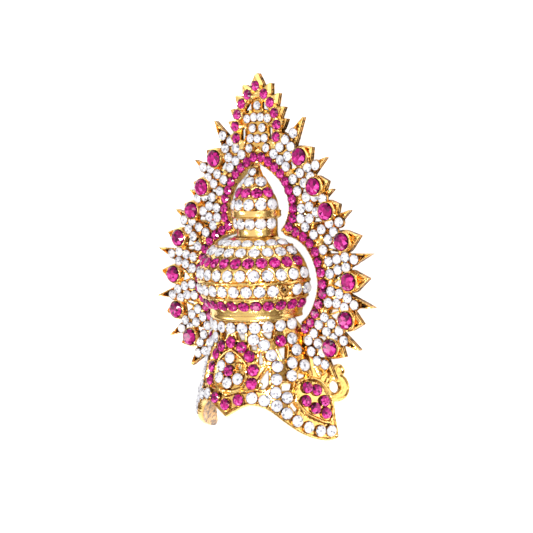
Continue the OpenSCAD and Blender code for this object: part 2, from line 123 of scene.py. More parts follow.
def platedGold():
    # gold plate over polished cast brass, coloured by the painted shade attribute: bright yellow on
    # the wires, orange in the recesses as a painted reflection of gold in gold, brown as painted
    # shade in the corners, and the casting's unevenness
    material, tree = newMaterial("platedCastGold")
    recess = addNode(tree, "ShaderNodeAttribute", attribute_name="recess")
    place = addNode(tree, "ShaderNodeTexCoord")
    grain = addNode(tree, "ShaderNodeTexNoise", {
        "Vector": place.outputs["Object"], "Scale": 1000 / goldLook["grainMm"],
        "Detail": goldLook["grainDetail"],
    })
    relief = addNode(tree, "ShaderNodeBump", {
        "Height": grain.outputs["Fac"], "Strength": goldLook["grainStrength"],
        "Distance": goldLook["grainDepth"] / 1000,
    })
    # faint streaks across the crown's height, where the plating is thinner
    stretched = addNode(tree, "ShaderNodeMapping", {
        "Vector": place.outputs["Object"],
        "Scale": tuple(1000 / size for size in goldLook["streakMm"]),
    })
    streaks = addNode(tree, "ShaderNodeTexNoise", {
        "Vector": stretched.outputs["Vector"], "Scale": 1.0,
    })
    lift = addNode(tree, "ShaderNodeMapRange", {
        "Value": streaks.outputs["Fac"],
        "From Min": goldLook["streakFrom"], "From Max": goldLook["streakTo"],
        "To Min": -goldLook["streakDepth"], "To Max": goldLook["streakDepth"],
    })
    # the painted shade, moved up and down by the streaks
    paintedShadeAndWear = addNode(tree, "ShaderNodeMath", {
        0: recess.outputs["Fac"], 1: lift.outputs["Result"],
    }, operation="ADD")
    platingWithPaintedShade = addNode(
        tree, "ShaderNodeValToRGB", {"Fac": paintedShadeAndWear.outputs["Value"]}, goldLook["stops"])
    shader = addNode(tree, "ShaderNodeBsdfPrincipled", {
        "Base Color": platingWithPaintedShade.outputs["Color"], "Metallic": 1.0,
        "Roughness": goldLook["roughness"], "Normal": relief.outputs["Normal"],
    })
    addNode(tree, "ShaderNodeOutputMaterial", {"Surface": shader.outputs["BSDF"]})
    return material


glassLook = {"roughness": 0.12, "refraction": 1.56, "glint": 0.3}


def foiledGlass(name, stops):
    # cut glass with foil behind: the glass's own colour with the foil's reflections painted on, so
    # each facet's colour goes by its own painted reflection tone, and the polish gives every facet a
    # hard glint
    material, tree = newMaterial(name)
    tone = addNode(tree, "ShaderNodeAttribute", attribute_name="tone")
    paintedFoilReflection = addNode(tree, "ShaderNodeValToRGB", {"Fac": tone.outputs["Fac"]}, stops)
    shader = addNode(tree, "ShaderNodeBsdfPrincipled", {
        "Base Color": paintedFoilReflection.outputs["Color"], "Roughness": glassLook["roughness"],
        "IOR": glassLook["refraction"], "Specular IOR Level": glassLook["glint"],
    })
    addNode(tree, "ShaderNodeOutputMaterial", {"Surface": shader.outputs["BSDF"]})
    return material


gold = platedGold()
# each ramp runs from the glass's painted dark reflection at 0 to its painted bright reflection at 1
crystal = foiledGlass("foiledClearGlass", [
    (0.0, "#4C4C55"), (0.15, "#86868F"), (0.35, "#AFAFB5"), (0.65, "#BEBEC3"), (1.0, "#CECED2"),
])
fuchsia = foiledGlass("foiledMagentaGlass", [
    (0.0, "#1E0110"), (0.25, "#4C0234"), (0.5, "#7A084E"), (0.75, "#A01068"), (1.0, "#C64496"),
])
finishes = {"gold": gold, "crystal": crystal, "fuchsia": fuchsia}


# Making meshes

def addObject(name, data):
    # a new object at the scene's origin
    thing = bpy.data.objects.new(name, data)
    bpy.context.scene.collection.objects.link(thing)
    return thing


def makePiece(name, points, faces, slot, replacing=(), recess=None, tone=None, sharp=None):
    # points in mm, as the crown lies; faces as whole-number arrays, a row for each face
    mesh = bpy.data.meshes.new(name)
    corners = np.concatenate([f.ravel() for f in faces]).astype(np.int32)
    sizes = np.concatenate([np.full(len(f), f.shape[1]) for f in faces])
    mesh.vertices.add(len(points))
    mesh.vertices.foreach_set("co", (points / 1000).astype(np.float32).ravel())
    mesh.loops.add(len(corners))
    mesh.loops.foreach_set("vertex_index", corners)
    mesh.polygons.add(len(sizes))
    mesh.polygons.foreach_set("loop_start", (np.cumsum(sizes) - sizes).astype(np.int32))
    mesh.update(calc_edges=True)
    # the point attribute carries the gold's painted shade and painted reflection, the face attribute
    # the stones' painted facet reflections
    for kind, domain, values in (("recess", "POINT", recess), ("tone", "FACE", tone)):
        if values is not None:
            attribute = mesh.attributes.new(kind, "FLOAT", domain)
            attribute.data.foreach_set("value", values.astype(np.float32))
    mesh.polygons.foreach_set("use_smooth", np.full(len(sizes), sharp is not None))
    if sharp is not None:
        mesh.set_sharp_from_angle(angle=math.radians(sharp))
    mesh.materials.append(finishes[slot])
    piece = addObject(name, mesh)
    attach(piece, "root")
    if replacing:
        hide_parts(*replacing)
    return piece


# Outlines, as distances in mm that are positive inside

def smoothPath(table, steps):
    # Catmull-Rom: a cubic through every point, its slope there half the step between its neighbours
    p = np.array(table, float)
    before, after = np.vstack([p[:1], p[:-2]]), np.vstack([p[2:], p[-1:]])
    a, b = p[:-1, None], p[1:, None]
    t = (np.arange(steps) / steps)[None, :, None]
    before, after = before[:, None], after[:, None]
    inner = (2 * a + (b - before) * t + (2 * before - 5 * a + 4 * b - after) * t ** 2
             + (3 * a - before - 3 * b + after) * t ** 3) / 2
    return np.vstack([inner.reshape(-1, 2), p[-1:]])


def pathDistance(u, v, path):
    # distance to the nearest of the path's straight pieces
    nearest = np.full(np.shape(u), 1e9)
    for (ax, ay), (bx, by) in zip(path[:-1], path[1:]):
        dx, dy = bx - ax, by - ay
        if dx == dy == 0:
            continue
        along = np.clip(((u - ax) * dx + (v - ay) * dy) / (dx * dx + dy * dy), 0, 1)
        nearest = np.minimum(nearest, (u - ax - along * dx) ** 2 + (v - ay - along * dy) ** 2)
    return np.sqrt(nearest)


def polygonField(u, v, corners):
    # distance to the outline, positive where a ray to the right crosses it an odd number of times
    path = np.array([*corners, corners[0]], float)
    inside = np.zeros(np.shape(u), bool)
    for (ax, ay), (bx, by) in zip(path[:-1], path[1:]):
        if ay != by:
            inside ^= ((ay > v) != (by > v)) & (u < (bx - ax) * (v - ay) / (by - ay) + ax)
    return np.where(inside, 1, -1) * pathDistance(u, v, path)


def seatField(u, v, seats, radius):
    # depth inside the nearest of many round seats
    nearest = np.full(np.shape(u), 1e9)
    for x, y in seats:
        nearest = np.minimum(nearest, (u - x) ** 2 + (v - y) ** 2)
    return radius - np.sqrt(nearest)


def mirrored(table):
    # the right half, and its mirror image without the points on the middle line
    p = np.array(table, float)
    return np.vstack([p, p[p[:, 0] > 0.05] * (-1, 1)])


def ramp(x, start, width):
    # straight line: 0 up to the start, 1 from start + width on
    return np.clip((x - start) / width, 0, 1)


def rounded(x, width):
    # quarter circle: 0 at x = 0, 1 from x = width on
    return np.sqrt(1 - (1 - ramp(x, 0, width)) ** 2)


def eased(x, low, width):
    # the same from a low start: low at x = 0, 1 from x = width on
    return low + (1 - low) * rounded(x, width)


def wire(x, top, place, half):
    # half an ellipse: its top where x is at the place, 0 past half on either side
    return top * np.sqrt(np.clip(1 - ((x - place) / half) ** 2, 0, 1))


def crease(distance, width=0.13):
    # a narrow line: a bell curve of the distance from it
    return np.exp(-(distance / width) ** 2)


# Cast plates with relief. How far outside the outline a corner of the grid may lie, and how far
# it may slide, are in pitches; the probe is the step in mm over which slopes are taken
sheetCut = {"outside": 0.5, "slide": 0.8, "pulls": 3, "probe": 0.03, "leastSlope": 0.2}


def reliefSheet(span, pitch, inside, height, place, depth, rings, grooved=None):
    # A plate on a regular grid of u and v. Cells stay where the outline's distance is positive, the
    # corners on the border slide down its slope onto the outline, and a front raised by
    # height(u, v), a back at -depth and a wall of rings (share of the wall, inset) close the solid.
    # A ring with an inset is the floor of a groove, which is cut where grooved(u, v) is 1
    uLow, uHigh, vLow, vHigh = span
    u = np.linspace(uLow, uHigh, round((uHigh - uLow) / pitch) + 1)
    v = np.linspace(vLow, vHigh, round((vHigh - vLow) / pitch) + 1)
    gridU, gridV = np.meshgrid(u, v, indexing="ij")
    good = inside(gridU, gridV) > -sheetCut["outside"] * pitch
    cell = good[:-1, :-1] & good[1:, :-1] & good[1:, 1:] & good[:-1, 1:]
    number = np.arange(gridU.size).reshape(gridU.shape)
    around = np.pad(cell, 1)
    corner = [number[:-1, :-1], number[1:, :-1], number[1:, 1:], number[:-1, 1:]]
    nextDoor = [around[1:-1, :-2], around[2:, 1:-1], around[1:-1, 2:], around[:-2, 1:-1]]
    quads = np.stack([c[cell] for c in corner], -1)
    edges = np.vstack([
        np.stack([corner[k][cell & ~nextDoor[k]], corner[(k + 1) % 4][cell & ~nextDoor[k]]], -1)
        for k in range(4)
    ])
    used, quads = np.unique(quads, return_inverse=True)
    quads = quads.reshape(-1, 4)
    edges = np.searchsorted(used, edges)
    border, edges = np.unique(edges, return_inverse=True)
    edges = edges.reshape(-1, 2)
    u, v = gridU.ravel()[used], gridV.ravel()[used]
    bu, bv = u[border], v[border]
    step, most = sheetCut["probe"], sheetCut["slide"] * pitch
    for pull in [1] * sheetCut["pulls"] + [0]:  # the last round only takes the slopes again
        slopeU = (inside(bu + step, bv) - inside(bu - step, bv)) / (2 * step)
        slopeV = (inside(bu, bv + step) - inside(bu, bv - step)) / (2 * step)
        size = np.maximum(np.hypot(slopeU, slopeV), sheetCut["leastSlope"])
        slide = np.clip(inside(bu, bv) / size, -most, most) * pull
        bu, bv = bu - slide * slopeU / size, bv - slide * slopeV / size
    u[border], v[border] = bu, bv
    inU, inV = slopeU / size, slopeV / size
    front = height(u, v)
    low = depth(u, v) if callable(depth) else np.full(len(u), float(depth))
    points = [place(u, v, front), place(u, v, -low)]
    count = len(u)
    levels = [border]
    for share, inset in rings:
        level = front[border] * (1 - share) - low[border] * share
        # a groove is left out where the plate is too narrow for it
        room = np.clip(inside(bu + inU * inset, bv + inV * inset) / max(inset, 0.01), 0, 1) * inset
        room = room * (grooved(bu, bv) if grooved else 1)
        points.append(place(bu + inU * room, bv + inV * room, level))
        levels.append(2 * count + (len(levels) - 1) * len(border) + np.arange(len(border)))
    levels.append(border + count)
    faces = [quads, quads[:, ::-1] + count]
    for top, bottom in zip(levels[:-1], levels[1:]):
        a, b = edges[:, 0], edges[:, 1]
        faces.append(np.stack([top[b], top[a], bottom[a], bottom[b]], -1))
    return np.vstack(points), faces, (u, v, front), (bu, bv)


def sheetPaintedShade(shade, edge, rings, wall=0.2, groove=1.0, back=0.88):
    # painted shade: the front's own, from 0 on the wires to 1 in the deepest corners, then the back,
    # painted dark, and the wall with its grooves painted dark
    walls = [np.full(len(edge[0]), groove if inset > 0.05 else wall) for share, inset in rings]
    return np.concatenate([np.clip(shade, 0, 1), np.full(len(shade), back), *walls])


# Stones. Their seats are read from the frame's nodes, where each has three rings of eight corners
solidStone = {"corners": 24, "triangles": 44}


def seatsOf(name):
    # feet, directions and diameters: the mean of a stone's corners lies on its axis, the axis is the
    # direction in which they spread least, and the table's ring is the small one
    mesh = frame["nodes"][name].data
    mesh.calc_loop_triangles()
    co = np.empty(len(mesh.vertices) * 3)
    mesh.vertices.foreach_get("co", co)
    triangles = np.empty(len(mesh.loop_triangles) * 3, np.int32)
    mesh.loop_triangles.foreach_get("vertices", triangles)
    corners = co.reshape(-1, 3)[triangles] * 1000
    listed = 3 * solidStone["triangles"]
    stone = np.repeat(np.arange(len(corners) // listed), listed)
    rows = np.unique(np.column_stack([stone, np.round(corners, 3)]), axis=0)
    p = rows[:, 1:].reshape(-1, solidStone["corners"], 3)
    middle = p.mean(axis=1)
    local = p - middle[:, None]
    _, axes = np.linalg.eigh(np.einsum("sci,scj->sij", local, local))
    axis = axes[:, :, 0]
    rise = np.einsum("sci,si->sc", local, axis)
    out = np.linalg.norm(local - rise[..., None] * axis[:, None], axis=2)
    sign = np.sign((rise * (out.mean(axis=1, keepdims=True) - out)).sum(axis=1))
    axis, rise = axis * sign[:, None], rise * sign[:, None]
    foot = middle + axis * rise.min(axis=1)[:, None]
    return foot, axis, 2 * out.max(axis=1)


def spokes(axis, turn):
    # unit directions square to each axis, turned round it by the angles. The first is its cross
    # product with x, or with y where it leans to x
    reference = np.where(np.abs(axis[:, :1]) < 0.8, [[1.0, 0.0, 0.0]], [[0.0, 1.0, 0.0]])
    first = np.cross(axis, reference)
    first /= np.linalg.norm(first, axis=1)[:, None]
    second = np.cross(axis, first)
    return np.cos(turn)[..., None] * first[:, None] + np.sin(turn)[..., None] * second[:, None]


# Rings of a stone's corners: radius and height, in parts of the diameter, and number of corners
stoneCut = {
    "table": (0.27, 0.39, 8), "star": (0.395, 0.33, 8), "girdle": (0.5, 0.2, 16),
    "foot": (0.485, 0.06, 16), "middle": (0, 0.39, 1),
}


def stonesAt(foot, axis, size, seed):
    # round cut: a table of eight sides, eight stars, eight kites, sixteen halves and a girdle of
    # sixteen sides, between circles of corners, which are counted on from one ring to the next.
    # The table is split into eight wedges, so that the eight sides of the foiled back can be painted
    # into it as reflections
    girdle, bottomRing, middle, corners = 16, 32, 48, 49
    spin = np.random.default_rng(seed).uniform(0, math.pi / 4, len(foot))
    eighth, sixteenth = np.arange(8) * math.pi / 4, np.arange(16) * math.pi / 8
    angle = np.concatenate([eighth, eighth + math.pi / 8, sixteenth, sixteenth, [0]])
    *ring, number = zip(*stoneCut.values())
    radius, rise = (np.repeat(value, number)[None, :, None] for value in ring)
    flat = spokes(axis, angle[None] + spin[:, None])
    points = foot[:, None] + size[:, None, None] * (radius * flat + rise * axis[:, None])
    k, j = np.arange(8), np.arange(16)
    table = np.stack([np.full(8, middle), k, (k + 1) % 8], -1)
    star = np.stack([8 + k, (k + 1) % 8, k], -1)
    kite = np.stack([k, 8 + (k - 1) % 8, girdle + 2 * k, 8 + k], -1)
    halves = np.vstack([
        np.stack([8 + k, girdle + 2 * k, girdle + 2 * k + 1], -1),
        np.stack([8 + k, girdle + 2 * k + 1, girdle + (2 * k + 2) % 16], -1),
    ])
    belt = np.stack([
        girdle + j, bottomRing + j, bottomRing + (j + 1) % 16, girdle + (j + 1) % 16,
    ], -1)
    bottom = bottomRing + j[::-1][None]
    shift = corners * np.arange(len(foot))[:, None, None]
    groups = [table, star, kite, halves, belt, bottom]
    faces = [(f[None] + shift).reshape(-1, f.shape[1]) for f in groups]
    return points.reshape(-1, 3), faces


# Painted reflections of the foil behind the facets, from 0 dark to 1 bright: the range of each kind
# of facet, the belt and bottom painted dark
paintedFacetLightRange = {
    "table": (0.35, 0.95), "star": (0.2, 0.95), "kite": (0.3, 1.0), "halves": (0.1, 0.9),
    "belt": (0.0, 0.35), "bottom": (0.0, 0.1),
}
# Painted light: how much brighter a stone's lower edge is painted than its middle, standing in for
# the foil mirroring the light over
paintedLowerEdgeLight = {"crystal": 0.1, "fuchsia": 0.3}
# The share of facets painted with a dark reflection, as if their foil mirrored something dark, and
# what is left of their painted tone
paintedDarkShare = {"crystal": 0.15, "fuchsia": 0.06}
paintedDarkFacetLight = 0.2


def paintedFacetLights(points, faces, count, size, slot, seed):
    # painted facet reflections: drawn from the range of the facet's kind, plus the painted light of
    # the tilt times how low it sits on its stone
    draw = np.random.default_rng(seed)
    down = turnedX(np.array([0.0, -1.0, 0.0]), -crown["restLean"])
    middles = points.reshape(count, -1, 3).mean(axis=1)
    tones = []
    for group, limits in zip(faces, paintedFacetLightRange.values()):
        offset = points[group].mean(axis=1) - np.repeat(middles, len(group) // count, axis=0)
        low = offset @ down / np.repeat(size / 2, len(group) // count)
        tone = draw.uniform(*limits, len(group)) + paintedLowerEdgeLight[slot] * low
        tone = np.where(draw.random(len(group)) < paintedDarkShare[slot], paintedDarkFacetLight * tone, tone)
        tones.append(np.clip(tone, 0, 1))
    return np.concatenate(tones)


def ringsAround(foot, axis, size, profile, sides, topPaintedShade=0.0, footPaintedShade=0.95):
    # a closed profile of (radius past the stone's, height) carried round each stone, with a painted
    # shade going straight from the profile's dark foot to its top
    flat = spokes(axis, np.arange(sides)[None] * 2 * math.pi / sides)
    past, rise = np.array(profile, float).T
    radius = size[:, None] / 2 + past[None]
    points = (foot[:, None, None] + radius[:, None, :, None] * flat[:, :, None]
              + rise[None, None, :, None] * axis[:, None, None])
    number = np.arange(sides * len(past)).reshape(sides, -1)
    along = np.roll(number, -1, axis=0)
    quads = np.stack([number, along, np.roll(along, -1, axis=1), np.roll(number, -1, axis=1)], -1)
    shift = number.size * np.arange(len(foot))[:, None, None]
    shade = footPaintedShade - (footPaintedShade - topPaintedShade) * (rise - rise.min()) / (rise.max() - rise.min())
    shade = np.tile(shade, len(foot) * sides)
    return points.reshape(-1, 3), [(quads.reshape(-1, 4)[None] + shift).reshape(-1, 4)], shade


def joinParts(parts):
    # several (points, faces, shade) as one
    points, faces, shades, shift = [], [], [], 0
    for p, f, s in parts:
        points.append(p)
        faces += [g + shift for g in f]
        shades.append(s)
        shift += len(p)
    return np.vstack(points), faces, np.concatenate(shades)


# Halo. Widths are in mm, and body and edge are distances from the outline of the opening's lobes
halo = {
    "thickness": 2.4, "floor": 0.9, "rim": 0.46, "pocket": 0.7, "groove": 1.55, "edge": 0.7,
    "body": 3.2, "petalRadius": 3.15, "petalRoot": 7.0, "flameRadius": 1.92, "pitch": 0.275,
    "span": (-39.5, 39.5, 17.0, 103.5), "curveSteps": 6, "arcPoints": 12,
    "windowTip": 5.8, "windowFoot": 3.1, "windowHalf": 1.5, "windowReach": 1.1, "relief": 1.3,
    "smallStone": 2.75, "stoneGap": 0.05, "stoneLift": 0.1, "sharp": 38,
}
# Relief of its front. A wire is (rise, place, half width), an edge (start, width), and a seat
# (depth, radius); rises and depths are shares of the floor's depth
haloRelief = {
    "rimFoot": 0.3, "parting": 0.45, "partingWidth": 0.17, "partingFrom": 0.15,
    "ringWire": (0.45, -1.72, 0.28), "petalRim": (0.6, 0.25), "petalEdge": (0.4, 0.3),
    "petalWire": (0.75, 1.3, 0.26), "seatRadius": 1.48, "seatEdge": 0.2,
    "pocketRim": (0.35, 0.3), "pocketSeat": (0.1, 0.3), "pocketBody": 0.5, "pocketDeep": 2.2,
    "flameTop": 1.5, "flameEdge": (0.55, 0.35), "flameSeat": (0.75, 1.45), "plateEdge": (0.35, 0.4),
}
# Painted shade of its front, walls and grooves, and where its painted dark lines run
haloPaintedShadeLevels = {
    "floor": 0.36, "petalHollow": 0.68, "hollowFrom": 1.6, "petalFeet": (0.85, 1.62), "feet": 0.95,
    "rimGap": 0.08, "rims": 0.9, "ring": 0.8, "pocketDepth": 0.5,
    "innerWall": 0.1, "outerWall": 0.6, "outerGroove": 0.9,
}
# Points: tip x, y, foot x, y and half width of the foot
pointTable = [
    (16.0, 90.6, 7.4, 77.6, 3.7), (23.7, 79.3, 12.2, 71.2, 3.3), (26.0, 70.5, 14.2, 64.2, 3.3),
    (31.4, 64.7, 17.4, 56.4, 3.9), (38.3, 52.9, 23.2, 48.8, 3.9), (39.1, 38.2, 23.2, 40.8, 3.9),
    (34.5, 26.2, 19.6, 33.8, 3.9), (26.3, 17.4, 17.6, 27.6, 3.6),
]
# Petals and flames: stone x, y and tip x, y
petalTable = [
    (15.2, 79.3, 18.7, 81.9), (20.0, 71.0, 24.0, 72.5), (24.0, 64.2, 27.6, 66.2),
    (29.2, 56.0, 34.4, 57.7), (31.4, 45.1, 37.2, 46.1), (30.4, 34.5, 35.2, 33.6),
    (25.2, 26.6, 29.3, 24.2),
]
flameTable = [
    (0, 99.6, 0, 103.4), (2.9, 97.2, 4.9, 100.4), (5.1, 94.7, 7.6, 97.4), (6.6, 91.7, 9.5, 93.4),
    (7.4, 88.4, 10.3, 90.0), (7.1, 85.0, 9.9, 85.9),
]
# Outlines of the right half, some of them drawn on past the middle line
crestEdge = [
    (0, 99), (3.4, 95), (5.2, 92), (6.0, 88), (5.8, 84), (8.6, 80.5), (8, 76), (0, 79), (-3, 79),
    (-3, 99),
]
crestFloor = [
    (0, 96.2), (1.5, 95.7), (1.7, 92.4), (5.9, 92.0), (5.9, 89.0), (3.5, 88.7), (4.2, 83.6),
    (4.9, 81.6), (4.6, 79.4), (0, 82.6), (-3, 82.6), (-3, 96.2),
]
crestWindows = [
    [(2.1, 95.4), (2.1, 93.1), (4.3, 92.6)],
    [(4.2, 88.3), (5.4, 87.3), (5.4, 84.8), (4.5, 84.2)],
]
shoulderRoom = [(15.2, 52.4), (12.9, 55.0), (9.4, 57.5), (7.8, 58.8), (-1, 58.8), (-1, 51)]
bandRoom = [
    (14.9, 35.3), (14.9, 35.0), (15.0, 31.0), (15.7, 27.0), (16.7, 23.0), (17.9, 19.0),
    (19.1, 15.0), (-1, 15.0), (-1, 35.3),
]
upperLobe = [
    (0, 80.4), (5.6, 77.2), (10.4, 73.0), (12.8, 68.0), (12.9, 63.5), (11.3, 59.4), (8.5, 56.0),
]
lowerLobe = [
    (8.0, 59.8), (13.5, 58.6), (18.0, 55.6), (21.4, 50.4), (22.7, 44.4), (21.6, 38.6),
    (18.6, 33.4), (14.0, 29.8),
]
lowerLobeFoot = (4.0, 22.0)
# Small stones, x and y of the right half: round the opening, and on each point
ringSeats = [
    (1.4, 79.4), (3.8, 78.1), (6.0, 76.5), (8.0, 74.7), (9.7, 72.5), (10.9, 70.1), (12.0, 67.6),
    (12.4, 64.9), (12.2, 62.2), (10.9, 59.8), (13.2, 58.4), (15.8, 57.1), (18.0, 55.3), (19.8, 52.9),
    (20.7, 50.1), (21.7, 47.3), (22.2, 44.1), (22.2, 41.4), (20.8, 38.5), (19.6, 35.8), (18.1, 33.2),
    (16.2, 31.4),
]
paveSeats = [
    (12.6, 85.9), (9.8, 84.2), (7.8, 82.1), (11.7, 82.2), (5.9, 80.2), (10.2, 79.3), (8.0, 78.4),
    (9.9, 76.8), (20.0, 76.8), (17.6, 75.9), (14.8, 74.8), (18.2, 74.2), (12.4, 73.1), (16.2, 72.0),
    (13.9, 69.8), (22.2, 67.7), (19.5, 68.1), (17.5, 67.3), (17.8, 65.9), (14.9, 64.9), (19.7, 64.3),
    (14.4, 62.1), (17.8, 61.9), (27.8, 61.3), (24.7, 60.7), (25.8, 58.7), (22.0, 59.2), (24.3, 56.6),
    (19.3, 57.6), (16.4, 59.5), (22.5, 53.6), (32.7, 51.2), (29.7, 51.7), (30.0, 49.0), (27.1, 51.1),
    (27.4, 48.2), (24.3, 50.4), (24.7, 47.0), (32.6, 38.8), (30.5, 40.5), (29.5, 38.0), (27.8, 41.6),
    (26.8, 39.0), (25.0, 42.2), (24.2, 39.0), (29.2, 28.8), (27.6, 31.3), (25.9, 29.4), (25.0, 33.1),
    (23.6, 31.1), (22.8, 34.9), (20.9, 32.7), (19.2, 30.2), (17.3, 28.1), (22.9, 21.8), (20.3, 22.6),
    (22.1, 25.1), (18.3, 25.1), (20.6, 27.5),
]


def spreadSeats(table, still, gap, rounds=60, share=0.6):
    # pairs nearer than the gap push each other apart by half of what is missing, a share of it in
    # each round; still ones stay
    p = np.array(table, float)
    fixed = np.array(still, float)
    for _ in range(rounds):
        everyone = np.vstack([p, fixed])
        away = p[:, None] - everyone[None]
        distance = np.linalg.norm(away, axis=2) + 1e-9
        distance[np.arange(len(p)), np.arange(len(p))] = 1e9
        own = np.where(np.arange(len(everyone)) < len(p), 0.5, 1.0)
        missing = np.clip(gap - distance, 0, None) * own
        p = p + share * (away / distance[..., None] * missing[..., None]).sum(axis=1)
    return p


ringPlaces = np.array(ringSeats)
pavePlaces = spreadSeats(paveSeats, ringSeats, halo["smallStone"] + halo["stoneGap"])
smallPlaces = np.vstack([ringPlaces, pavePlaces])


def dropOutline(x, y, tipX, tipY, radius, root=0.0):
    # a circle round the stone, drawn out by its tangents to the tip, and to a root behind it
    seat, tip = np.array([x, y], float), np.array([tipX, tipY], float)
    reach = np.linalg.norm(tip - seat)
    out = (tip - seat) / reach
    left = np.array([-out[1], out[0]])
    front = math.acos(radius / reach)
    back = math.pi - math.acos(radius / root) if root else math.pi
    side = np.linspace(front, back, halo["arcPoints"])

    def arc(angle):
        # points of the circle, by their angle from the tip's direction
        return seat + radius * (np.cos(angle)[:, None] * out + np.sin(angle)[:, None] * left)

    behind = [seat - root * out] if root else []
    return np.vstack([tip, arc(side), *behind, arc(-side[::-1])])


def petalWindow(x, y, tipX, tipY):
    # a triangle behind the stone, with its tip towards the opening
    seat, tip = np.array([x, y]), np.array([tipX, tipY])
    out = (tip - seat) / np.linalg.norm(tip - seat)
    aside = halo["windowHalf"] * np.array([-out[1], out[0]])
    foot = seat - halo["windowFoot"] * out
    return np.vstack([seat - halo["windowTip"] * out, foot - aside, foot + aside])


def bothHalves(right):
    # the right half from the top down, then its mirror image back up
    return np.vstack([right, right[::-1] * (-1, 1)])


petalOutlines = [dropOutline(*row, halo["petalRadius"], halo["petalRoot"]) for row in petalTable]
petalWindows = [petalWindow(*row) for row in petalTable]
flameOutlines = [dropOutline(*row, halo["flameRadius"]) for row in flameTable]
lobeOutlines = [
    bothHalves(smoothPath(upperLobe, halo["curveSteps"])),
    bothHalves(np.vstack([smoothPath(lowerLobe, halo["curveSteps"]), [lowerLobeFoot]])),
]


def tineField(x, y):
    # depth inside the points, each a triangle, and distance to the middle line of the deepest
    best, middle = np.full(np.shape(x), -1e9), np.full(np.shape(x), 1e9)
    for tipX, tipY, footX, footY, half in pointTable:
        reach = math.hypot(footX - tipX, footY - tipY)
        ux, uy = (footX - tipX) / reach, (footY - tipY) / reach
        along = (x - tipX) * ux + (y - tipY) * uy
        aside = np.abs((y - tipY) * ux - (x - tipX) * uy)
        side = (half * along / reach - aside) * math.cos(math.atan(half / reach))
        depth = np.minimum(side, reach - along)
        middle = np.where(depth > best, aside, middle)
        best = np.maximum(best, depth)
    return best, middle


def deepest(x, y, outlines):
    # distance to the union of the outlines
    return np.max([polygonField(x, y, outline) for outline in outlines], axis=0)


def lobeField(x, y):
    # distance to the opening's outline, positive inside either lobe
    return deepest(x, y, lobeOutlines)


def haloField(u, v):
    # the union of body, points, petals, flames and crest, less the opening, windows and rooms
    x = np.abs(u)
    lobes = lobeField(x, v)
    plate = np.maximum.reduce([
        tineField(x, v)[0], lobes + halo["body"], deepest(x, v, petalOutlines),
        deepest(x, v, flameOutlines), polygonField(x, v, crestEdge),
    ])
    holes = np.maximum.reduce([
        lobes - halo["groove"] - halo["edge"], deepest(x, v, petalWindows + crestWindows),
        polygonField(x, v, shoulderRoom), polygonField(x, v, bandRoom),
    ])
    return np.minimum(plate, -holes)


def haloHeight(u, v):
    # floors at -floor; wires, rims and ridges rise from them by quarter circles and half ellipses
    x, cut = np.abs(u), haloRelief
    lobes = lobeField(x, v)
    tine, middle = tineField(x, v)
    petal, flame = deepest(x, v, petalOutlines), deepest(x, v, flameOutlines)
    floorRoom = np.maximum.reduce([
        tine - halo["rim"], halo["groove"] - np.abs(lobes), polygonField(x, v, crestFloor),
    ])
    rise = rounded(-floorRoom, cut["rimFoot"])
    # a fine line parts a point's two rims where they meet
    parting = cut["parting"] * crease(middle, cut["partingWidth"]) * (tine > cut["partingFrom"])
    rise = np.where(tine < halo["rim"], rise - parting, rise)
    rise = np.maximum(rise, wire(lobes, *cut["ringWire"]))
    petalRim, petalFoot = cut["petalRim"]
    petalRise = rounded(petalRim - petal, petalFoot) * eased(petal, *cut["petalEdge"])
    petalRise = np.maximum(petalRise, wire(petal, *cut["petalWire"]))
    rise = np.where(petal > 0, petalRise, rise)
    small = seatField(x, v, smallPlaces, cut["seatRadius"])
    rise = rise * (1 - ramp(small, 0, cut["seatEdge"]))
    # past the last small stone, the room between a point's rims runs down into a pocket
    bare = ramp(tine, *cut["pocketRim"]) * ramp(-small, *cut["pocketSeat"])
    bare = bare * ramp(-lobes, halo["body"], cut["pocketBody"]) * (petal < 0)
    pocket = halo["pocket"] * bare * np.clip(cut["pocketDeep"] - tine, 0, 1)
    seatDepth, seatRadius = cut["flameSeat"]
    flameSeat = seatField(x, v, [row[:2] for row in flameTable], seatRadius)
    flameRise = (cut["flameTop"] * eased(flame, *cut["flameEdge"])
                 - seatDepth * ramp(flameSeat, 0, cut["seatEdge"]))
    rise = np.where(flame > 0, np.maximum(flameRise, rise), rise)
    edge = eased(haloField(u, v), *cut["plateEdge"])
    return -halo["floor"] + halo["floor"] * np.clip(rise, 0, cut["flameTop"]) * edge - pocket


def haloPlace(u, v, h):
    # flat: u across, v up, h to the front
    return lying(np.stack([u, v, h], -1))


def haloDepth(u, v):
    # the back comes forward round the windows, so that they can be seen through, by the smooth
    # step 3 t t - 2 t t t
    near = np.clip(halo["windowReach"] + deepest(np.abs(u), v, petalWindows + crestWindows), 0, 1)
    return halo["thickness"] - halo["relief"] * near * near * (3 - 2 * near)


def haloShade(u, v, front):
    # painted shade: floors yellow, the hollow of a petal orange as painted reflection, and dark
    # painted lines at the feet of the wires
    x, tint = np.abs(u), haloPaintedShadeLevels
    petal, lobes = deepest(x, v, petalOutlines), lobeField(x, v)
    tine = tineField(x, v)[0]
    plain = tint["floor"] * ramp(-front, 0, halo["floor"])
    plain = np.where(petal > tint["hollowFrom"], tint["petalHollow"], plain)
    feet = np.max([crease(petal - place) for place in tint["petalFeet"]], axis=0)
    rims = crease(tine - halo["rim"] - tint["rimGap"]) * (petal < 0) * (lobes < -halo["body"])
    ring = crease(np.abs(lobes) - halo["groove"]) * (petal < 0)
    pocket = ramp(-front, halo["floor"], tint["pocketDepth"])
    return np.maximum.reduce([
        plain, tint["feet"] * feet, tint["rims"] * rims, tint["ring"] * ring, pocket,
    ])


def outerEdge(u, v):
    # 1 on the outline of points and petals, 0 on the smooth walls of the opening
    return np.where(lobeField(np.abs(u), v) < 0, 1.0, 0.0)


